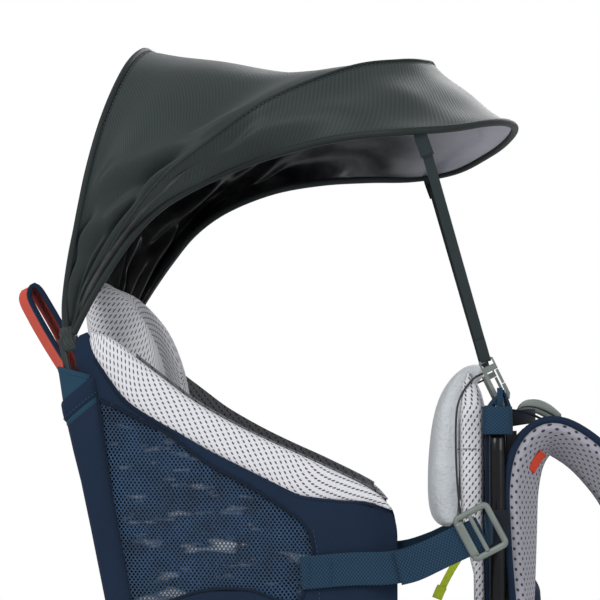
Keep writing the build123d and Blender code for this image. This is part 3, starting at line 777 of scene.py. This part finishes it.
def build_inner_lining(name, side):
    """Creased inner lining behind the window, whose painted pale glints show through the netting in places.
    """
    rows = []
    for j in range(34):
        z = 520 + 178 * j / 33
        row = []
        for i in range(44):
            x = rear_x(z) + 12 + (-50 - rear_x(z) - 12) * i / 43
            fold = 5 * noise.noise(Vector((x * 0.9 + z * 0.5, z * 0.7, 7)) / 26)
            row.append(vec(x, side * (124 + fold), min(z, height_at(TOP_EDGE, x) - 12)))
        rows.append(row)
    place(thicken(net(f"inner_lining_{name}", rows, "creased"), 1.2), "root")
    facing = [[p - OUT * side * 4 * MM for p in row] for row in rows]
    place(thicken(net(f"cockpit_facing_{name}", facing, "mesh_dark"), 2), "root")


RIM_TOP = [(-247, 764), (-236, 760), (-222, 752), (-206.6, 739), (-181.7, 720), (-160, 704),
           (-128.6, 686), (-100, 672), (-71, 659), (-26, 638), (-5.7, 626), (5, 615)]
RIM_LOW = [(-248, 757), (-243, 742), (-230, 722), (-214, 702), (-190, 686), (-166, 672),
           (-136, 656), (-104, 640), (-74, 625), (-40, 621), (-12, 619), (3, 613)]


def rim_edge(edge, count, tip):
    """One long edge of the rim pad; tip moves its front end along, in mm."""
    moved = [(x + tip * ease((x + 90) / 90), z - tip * 0.35 * ease((x + 90) / 90)) for x, z in edge]
    return profile(moved, count)


def build_rim_pad(name, side):
    """Padded rim of pale air mesh, rolled over the side panel's top edge, with a dark inner face."""
    count = 46
    tip = -13 if side > 0 else 0
    top, low = rim_edge(RIM_TOP, count, tip), rim_edge(RIM_LOW, count, tip)
    rings = []
    for i, (a, b) in enumerate(zip(top, low)):
        half = (10.0 - 3.5 * ease((i / (count - 1) - 0.75) / 0.25)) * MM
        rings.append(oval((a + b) / 2 + OUT * side * 133.5 * MM, (a - b) / 2, OUT * half, 0.62, 24))
    pad = smooth_more(loft(f"rim_pad_{name}", round_off(rings), "mesh_white"))
    place(pad, "root", "rim_pads", side=side)
    lip = top[6:-4]
    inner = [[vec(p.x / MM + 5, side * (122 - 2 * k), p.z / MM - 1.5 - k * (1 + 9 * (1 - n / len(lip))))
              for n, p in enumerate(lip)] for k in range(6)]
    place(thicken(net(f"rim_inner_{name}", inner, "mesh_dark"), 1.6), "root")
    seam = [p + vec(0, side * 140, -0.5) for p in low[3:-2]]
    place(pipe(f"rim_seam_{name}", seam, 1.3, "binding"), "root")


def sleeve_ring(z, side, half, deep, slope=0.0):
    """Ring round the rear stay; slope tips its rim, as rise over run towards the front."""
    centre = pole_point(z, side, 0.5)
    ring = oval(centre, RAKE_FORWARD * half * MM, OUT * deep * MM, 0.75, 32)
    return [p + UP * (p.x - centre.x) * slope for p in ring]


def build_sleeve(name, side):
    """Cloth sleeve round the rear stay, with the open pole pocket and its folded band at the head."""
    rings = [sleeve_ring(z, side, 11.2 + 1.6 * ease((z - 560) / 150), 8.4, 0.66 * ease((z - 640) / 50))
             for z in (300, 306, 360, 420, 480, 540, 600, 640, 668, 698)]
    place(loft(f"stay_sleeve_{name}", rings, "navy"), "root", "stay_sleeves", "pole_pockets", side=side)
    pocket = [sleeve_ring(z, side, half, deep, slope) for z, half, deep, slope in (
        (692, 12.6, 8.4, 0.6), (694, 13.2, 8.7, 0.6), (708, 13.8, 9.0, 0.1), (722, 14.2, 9.2, -0.4),
        (728, 14.4, 9.3, -0.47), (728.6, 13.2, 8.2, -0.47), (716, 12.6, 7.8, -0.3), (700, 12.0, 7.6, 0.0))]
    place(loft(f"pole_pocket_{name}", pocket, "pocket"), "root")
    band = [sleeve_ring(z, side, half, deep, 0.62) for z, half, deep in (
        (697, 13.4, 9.0), (698.5, 14.2, 9.7), (705, 14.5, 10.0), (711.5, 14.4, 9.9), (713, 13.6, 9.2))]
    place(loft(f"pocket_band_{name}", band, "navy"), "root")
    for label, z, slope, half in (("top", 724.5, -0.45, 14.5), ("band", 700, 0.62, 14.6)):
        ring = sleeve_ring(z, side, half, half * 0.66, slope)
        place(stitches(f"pocket_{label}_stitches_{name}", ring + ring[:1], "thread_blue", 3.2), "root")


def build_headrest():
    """U-shaped pillow of perforated mesh whose wings slope down towards the front."""
    half_path = [(60, -74), (46, -78), (31, -76), (20, -66), (15, -44), (14, 0)]
    line = spline(mirrored([vec(x, y, 0) for x, y in half_path]), 61)
    z_low = 690
    rings = []
    for p, along in zip(line, tangents(line)):
        forward = p.x / MM
        reach = clamp((forward - 12) / 53)
        z_top = 694 + 114 * sqrt(max(0.04, 1 - reach * reach * 0.93))
        deep = Vector((along.y, -along.x, 0)) * (13 + 6 * ease((80 - abs(p.y) / MM) / 50)) * MM
        z_mid, half = (z_top + z_low) / 2, (z_top - z_low) / 2
        centre = vec(rear_x(z_mid) + forward + 8, p.y / MM, z_mid)
        rings.append(oval(centre, Vector((-RAKE, 0, 1)) * half * MM, deep, 0.72, 28))
    pillow = smooth_more(loft("headrest_pillow", round_off(rings), "mesh_white"))
    place(pillow, "root", "headrest")


def build_front_pad():
    """White mesh liner over the frame's top, with the plush chin pad on its child side."""
    rings = []
    for z in (338, 350, 400, 460, 520, 560, 600, 640, 680, 700, 712, 719, 724, 727):
        back = 70 - 12 * ease((z - 555) / 60)
        front = 80.0 - 5 * ease((z - 700) / 27)
        centre, half = (back + front) / 2, (front - back) / 2
        wide = 101 - 6 * ease((z - 690) / 37)
        crest = 1.0 if z < 712 else (0.9, 0.75, 0.5, 0.25)[min(3, int((z - 712) / 4))]
        rings.append(oval(vec(centre, 0, z), OUT * wide * MM, Vector((half * crest * MM, 0, 0)), 0.3, 48))
    place(loft("front_liner_mesh", rings, "mesh_white"), "root", "front_liner")
    outline = [(57, 602), (47, 597), (36, 602), (31, 615), (30.5, 640), (32, 668), (36, 696), (44, 716),
               (56, 730), (69, 737), (80, 735), (80, 729), (70, 727), (59, 716), (54, 694), (56, 650)]
    mid_x, mid_z = 58, 668
    rings = []
    for k in range(25):
        t = k / 12 - 1
        swell = sqrt(max(0.0, 1 - abs(t) ** 3.2)) * 0.9 + 0.1
        y = 92 * sin(t * pi / 2)
        rings.append([vec(mid_x + (x - mid_x) * (swell if x < mid_x else 0.6 + 0.4 * swell), y,
                          mid_z + (z - mid_z) * (0.86 + 0.14 * swell)) for x, z in outline])
    pad = smooth_more(loft("chin_plush", rings, "plush"), 2)
    place(pad, "root", "chin_pad")
    for name, side in SIDES:
        line = profile([(79, 727), (70, 722), (60, 708), (56, 690), (56, 650), (59, 612), (62, 600)],
                       40, side * 97)
        place(pipe(f"chin_seam_{name}", line, 0.9, "black_plastic"), "root")
        strip = [vec(82.2, side * 102, z) for z in range(340, 720, 20)]
        place(strap(f"liner_edge_{name}", strip, 5, 3, "navy", FORWARD), "root")
        cross = [vec(x, side * 102.2, 664) for x in (57, 62, 68, 74, 79)]
        place(stitches(f"liner_seam_{name}", cross, "black_plastic", radius=0.5), "root")


# ---- straps and fittings
def build_side_strap(name, side):
    """Side strap in broad webbing through its ladder-lock ring, and the tail that hangs back."""
    line = profile([(-70, 563), (-30, 566.5), (6, 568), (35, 577), (64, 590), (78, 597)], 40, side * 145)
    place(strap(f"side_strap_{name}", line, 27, 1.8, "webbing", UP), "root", "side_straps", side=side)
    tail = profile([(77, 594), (60, 588.5), (40, 579), (22, 570.5), (9, 567)], 18, side * 147.6)
    place(strap(f"side_tail_{name}", tail, 27.5, 1.9, "webbing", UP), "root")
    y = side * 146.2
    for label, x in (("box", -46), ("end", -64)):
        bar = bend([(x, y, 552), (x + 0.8, y + side * 0.2, 566), (x, y, 579)], 12)
        place(stitches(f"side_{label}_stitches_{name}", bar, "thread_blue", 3, 0.5), "root")
    build_ring(name, side)
    inward = bend([(x, side * out, z) for x, out, z in (
        (80, 146, 598), (83, 139, 599), (85, 129, 600), (85, 121, 600))], 12)
    place(strap(f"ring_anchor_{name}", inward, 27, 1.8, "webbing", UP), "root")


def build_ring(name, side):
    """Square ladder-lock ring with rounded bars and a middle bar."""
    tilt = radians(28)
    u = Vector((cos(tilt), 0, sin(tilt)))
    w = Vector((-sin(tilt), 0, cos(tilt)))

    def spot(a, b, out=0.0):
        return vec(76, side * 149.5, 597) + (u * a + w * b + OUT * side * out) * MM

    ring = []
    for ca, cb, start in ((11, 15, 0), (-11, 15, 90), (-11, -15, 180), (11, -15, 270)):
        for k in range(5):
            a = radians(start + 90 * k / 4)
            ring.append(spot(ca + 3 * cos(a), cb + 3 * sin(a)))
    place(pipe(f"side_ring_{name}", ring, 2.7, "plastic", True), "root", "side_rings", side=side)
    edge = [spot(-12.6, b, 0.6) for b in range(-15, 16, 3)]
    place(strap(f"side_ring_edge_{name}", edge, 7, 4.6, "plastic", u, power=0.6), "root")
    bar = spline([spot(-2, -16, 1.5), spot(-2, 0, 2.4), spot(-2, 16, 1.5)], 8)
    place(pipe(f"side_ring_bar_{name}", bar, 1.9, "plastic"), "root")


STRAP_LINE = [(113, 452), (111, 600), (112, 636), (118, 660), (132, 674), (150, 668), (172, 650),
              (196, 616), (211, 566), (215, 508), (210, 450)]


def offset_line(line, out):
    """The line moved away from the wearer by a distance in mm, square to an arch in the XZ plane."""
    return [p + Vector((-along.z, 0, along.x)).normalized() * out * MM
            for p, along in zip(line, tangents(line))]


def build_shoulder(name, side):
    """Padded shoulder strap: mesh inside, navy cloth edge and back, webbing and a tab on top."""
    y = side * 88
    line = profile(STRAP_LINE, 64, y)

    def twist(t):
        return side * 27 * sin(pi * clamp((t - 0.10) / 0.85)) ** 0.7

    pad = smooth_more(strap(f"strap_pad_{name}", line, 50, 12, "mesh_strap", OUT, twist, 0.5, 24))
    place(pad, "harness", "shoulder_straps", side=side)
    back = strap(f"strap_back_{name}", offset_line(line, 5.0), 53, 7, "navy", OUT, twist, 0.4, 20)
    place(smooth_more(back), "harness")
    web = offset_line(line, 9.6)[16:]
    place(strap(f"strap_webbing_{name}", web, 21, 1.8, "webbing_dark", OUT, twist), "harness")
    tab = bend([(118, y + 6 * side, 646), (123, y + 4 * side, 655), (128, y + 4 * side, 661)], 10)
    place(strap(f"strap_tab_{name}", tab, 10, 1.6, "red", Vector((0.6, 0.9, -0.5))), "harness")


def build_harness_webbing(name, side):
    """Load lifter with its buckle, the lower strap and the sternum strap's rail."""
    y = side * 90
    right = -side
    line = profile([(98, 697), (108, 695.5), (118, 693), (128, 688.5), (142, 683), (156, 676)], 30, y)
    lifter = strap(f"lifter_{name}", line, 20, 1.8, "webbing_dark")
    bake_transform(lifter)
    line = profile([(210, 452), (203, 420), (186, 350), (160, 290), (132, 240), (108, 205)], 40, y)
    low = strap(f"lower_strap_{name}", line, 20, 1.8, "webbing_dark")
    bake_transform(low)
    if right == 1:
        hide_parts("harness_webbing")
    rings = []
    line = profile([(106.5, 697.5), (112, 701.5), (122, 702), (132, 698), (143, 690)], 14, y)
    for i, p in enumerate(line):
        half = 14.0 - 2.0 * abs(i - 6.5) / 6.5
        thick = 2.3 + 1.4 * sin(pi * i / 13)
        rings.append(oval(p, OUT * half * MM, Vector((0.35, 0, 1)) * thick * MM, 0.35, 20))
    buckle = smooth_more(loft(f"lifter_buckle_{name}", rings, "plastic"))
    place(buckle, "harness", "harness_fittings", side=right)
    y = side * 88
    rail = bend([(224, y, 566), (229, y, 530), (229, y, 490)], 16)
    place(strap(f"sternum_rail_{name}", rail, 9, 3, "black_plastic"), "harness")


def build_loops():
    """Sternum strap, the red and navy haul loop behind, and the plain one at the frame's top."""
    bow = bend([(230, -94, 528), (236, -60, 527), (238, 0, 526), (236, 60, 527), (230, 94, 528)], 40)
    place(strap("sternum_webbing", bow, 19, 1.8, "webbing", UP), "sternum", "sternum_strap")
    line = profile([(-263, 726), (-272, 745), (-285, 770), (-296, 789), (-305, 803), (-311, 806),
                    (-314, 797), (-306, 780), (-292, 756), (-278, 734), (-268, 718)], 60)
    skew = Vector((-0.30, 1, 0))
    edge = [p - OUT * 32 * MM for p in line]
    rows = [[p + skew * across * MM for across in range(0, 65, 4)] for p in edge]
    place(thicken(net("rear_haul_loop", rows, "red"), 2.4), "root", "haul_loops")
    place(strap("haul_binding", edge, 7, 4.4, "navy", skew.normalized()), "root")
    grab = mirrored([vec(100, -44, 690), vec(113, -38, 692), vec(121, -20, 693), vec(122, 0, 693)])
    place(strap("front_haul_loop", spline(grab, 40), 12, 2.6, "webbing_dark", UP), "root")


def build_cuff(name, side):
    """Webbing cuff at the frame's top corner, its hook loop and the stay wrap."""
    rings = []
    for z in (676, 677, 682, 688, 694, 698, 699):
        k = (0.97 if z in (676, 699) else 1.0) * MM
        rings.append(oval(vec(STAY_X, side * STAY_Y, z), FORWARD * 12.4 * k, OUT * 11 * k, 0.6, 32))
    place(loft(f"corner_cuff_{name}", rings, "webbing"), "root", "stay_cuffs", side=-side)
    for label, x in (("rear", 82), ("front", 100)):
        leg = bend([(x, side * 112, 697), (x / 2 + 47, side * 111, 705), (94, side * 109.5, 711.5)], 8)
        lean = Vector((0.5, 0.9 * side, 0))
        place(strap(f"hook_web_{label}_{name}", leg, 7, 1.6, "webbing", lean), "root")
    wrap = [oval(vec(STAY_X, side * STAY_Y, z), FORWARD * 9.6 * MM, OUT * 9.6 * MM, 1.0, 28)
            for z in (584, 586, 600, 612, 614)]
    place(loft(f"stay_wrap_{name}", wrap, "webbing_dark"), "root")


def build_seat_pull():
    """Flat lime tape of the seat's height adjustment, with its grip tab."""
    across = Vector((1, 0, 0.5))
    line = bend([(57, -66, 572), (52, -67, 564), (47, -68, 555), (43, -69, 547)], 16)
    place(strap("seat_pull_strap", line, 6, 1.6, "lime", across), "root", "seat_pull")
    tab = bend([(43.5, -69, 549), (41.5, -70, 545), (39, -70, 539)], 8)
    place(strap("seat_pull_tab", tab, 8.5, 2.6, "lime", across), "root")


# ---- seat, back and lower parts
def build_soft_parts():
    cushions = (
        ("seat_cushion", "seat_pad", "mesh_xy", "seat", 7.0),
        ("back_cushion", "back_pad", "mesh_yz", "root", 8.0),
        ("lumbar_cushion", "lumbar_pad", "mesh_yz", "root", 6.0),
        ("hip_pad_left", "hip_fin_left", "mesh_xz", "fin_left", 6.0),
        ("hip_pad_right", "hip_fin_right", "mesh_xz", "fin_right", 6.0),
        ("yoke_pad", "harness_yoke", "navy_yz", "harness", 6.0),
        ("bag_body", "storage_bag", "navy_xz", "root", 10.0),
        ("child_pads", "child_harness_pads", "mesh_yz", "root", 4.0),
    )
    for name, node, look, body, voxel in cushions:
        place(inflated(name, node, look, voxel), body, node)
    rows = [[vec(rear_x(z) - 9 + 2 * sin(pi * (y + 132) / 264), y, z) for y in range(-132, 133, 6)]
            for z in range(300, 725, 12)]
    place(thicken(net("rear_cloth", rows, "navy_yz"), 2.5), "root", "rear_panel")


def build_low_straps(name, side):
    """Hip webbing, stirrup and the child's shoulder webbing."""
    line = bend([(x, side * out, 186) for x, out in (
        (240, 184), (256, 176), (274, 152), (290, 122), (300, 88))], 30)
    place(strap(f"hip_webbing_{name}", line, 31, 2, "webbing", UP), f"fin_{name}", f"hip_web_{name}")
    x, y, node = 68, side * 132, f"stirrup_{name}"
    foot = profile([(x + dx, z) for dx, z in ((0, 344), (24, 330), (33, 280), (26, 272), (0, 270),
                                              (-26, 272), (-33, 280), (-24, 330), (0, 344))], 60, y)
    place(strap(f"stirrup_loop_{name}", foot, 22, 3, "webbing"), node, node)
    hang = profile([(x, 476), (x, 410), (x, 342)], 16, y)
    place(strap(f"stirrup_web_{name}", hang, 15, 2, "webbing", FORWARD), node)
    line = bend([(rear_x(520) + 30, side * 49, 522), (-152, side * 46, 480), (-126, side * 30, 446)], 20)
    place(strap(f"child_web_{name}", line, 18, 1.8, "webbing_dark"), "root")


def build_bag_and_crotch():
    """The child's crotch strap, and the bag's zip tape and coil."""
    crotch = bend([(-30, 0, 362), (-58, 0, 392), (-88, 0, 424), (-108, 0, 436)], 20)
    web = strap("crotch_webbing", crotch, 24, 2, "webbing_dark")
    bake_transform(web)
    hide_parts("child_harness_webbing")
    rows = [[vec(-136.2 - 18 * (z - 150) / 112, y, z) for y in range(-97, 98, 2)]
            for z in (213, 220, 225.5, 226.5, 232, 239)]
    place(thicken(net("zip_tape", rows, "webbing_dark"), 1.2), "root", "bag_zip_tape")
    coil = [vec(-149 + 0.6 * (k % 2), -95 + k * 1.3, 226 + 0.8 * (k % 2)) for k in range(146)]
    place(pipe("zip_coil", coil, 1.0, "black_plastic"), "root")


def dress_frame():
    """Materials for the CAD parts that keep their own shape."""
    kept = {
        "tube": "front_stay rear_stays cross_tubes stand_tube pivot_pins",
        "black_plastic": "corner_hubs stand_hubs stand_eyes back_panel zip_slider",
        "rubber": "front_feet stand_grips",
        "plastic": "roof_hooks hook_gate_left hook_gate_right child_harness_buckle sternum_buckle "
                   "hip_buckle_plug hip_buckle_socket",
        "webbing": "hook_loops",
    }
    for look, nodes in kept.items():
        for node in nodes.split():
            obj = bpy.data.objects[node]
            obj.data.materials.clear()
            obj.data.materials.append(MAT[look])


# ---- studio
CAMERA_AT, CAMERA_LENS = (80, -2300, 655), 158.7
CAMERA_UP, CAMERA_LEFT = 3.46, 4.0
LAMPS_AIM = Vector((-0.05, 0, 0.75))
FLOOR_RADIUS, FLOOR_SIDES = 1.6, 96


def build_studio():
    """Camera, soft lights, white surround and pale floor."""
    scene = bpy.context.scene
    scene.view_settings.view_transform = "Standard"
    data = bpy.data.cameras.new("camera")
    data.sensor_width = 36.0
    data.lens = CAMERA_LENS
    data.clip_end = 50.0
    camera = bpy.data.objects.new("camera", data)
    camera.location = vec(*CAMERA_AT)
    camera.rotation_euler = (radians(90 + CAMERA_UP), 0, radians(CAMERA_LEFT))
    scene.collection.objects.link(camera)
    scene.camera = camera
    world = bpy.data.worlds.new("studio")
    world.use_nodes = True
    tree = world.node_tree
    back = tree.nodes["Background"]
    seen = tree.nodes.new("ShaderNodeBackground")
    seen.inputs["Color"].default_value = (1, 1, 1, 1)
    back.inputs["Color"].default_value = (0.93, 0.96, 1.0, 1)
    back.inputs["Strength"].default_value = 0.62
    path = tree.nodes.new("ShaderNodeLightPath")
    mix = tree.nodes.new("ShaderNodeMixShader")
    tree.links.new(path.outputs["Is Camera Ray"], mix.inputs[0])
    tree.links.new(back.outputs[0], mix.inputs[1])
    tree.links.new(seen.outputs[0], mix.inputs[2])
    tree.links.new(mix.outputs[0], tree.nodes["World Output"].inputs["Surface"])
    scene.world = world
    lights = (
        ("key", (-1.3, -1.7, 2.0), 1.4, 34.0),
        ("front", (1.6, -1.5, 1.3), 1.2, 14.0),
        ("rim", (0.4, 1.9, 1.9), 1.2, 22.0),
    )
    for name, spot, size, power in lights:
        lamp = bpy.data.lights.new(name, "AREA")
        lamp.shape = "DISK"
        lamp.size = size
        lamp.energy = power
        obj = bpy.data.objects.new(name, lamp)
        obj.location = spot
        obj.rotation_euler = (LAMPS_AIM - Vector(spot)).to_track_quat("-Z", "Y").to_euler()
        scene.collection.objects.link(obj)
    turns = [2 * pi * k / FLOOR_SIDES for k in range(FLOOR_SIDES)]
    ring = [(FLOOR_RADIUS * cos(a), FLOOR_RADIUS * sin(a), -0.0005) for a in turns]
    add_mesh("floor", ring, [tuple(range(FLOOR_SIDES))], "floor", smooth=False)


build_studio()
build_roof()
for side_name, side_sign in SIDES:
    for build in (build_gather, build_roof_strap, build_side, build_sleeve, build_side_strap, build_shoulder,
                  build_harness_webbing, build_cuff, build_low_straps):
        build(side_name, side_sign)
for build in (build_headrest, build_front_pad, build_loops, build_seat_pull, build_soft_parts,
              build_bag_and_crotch, dress_frame):
    build()
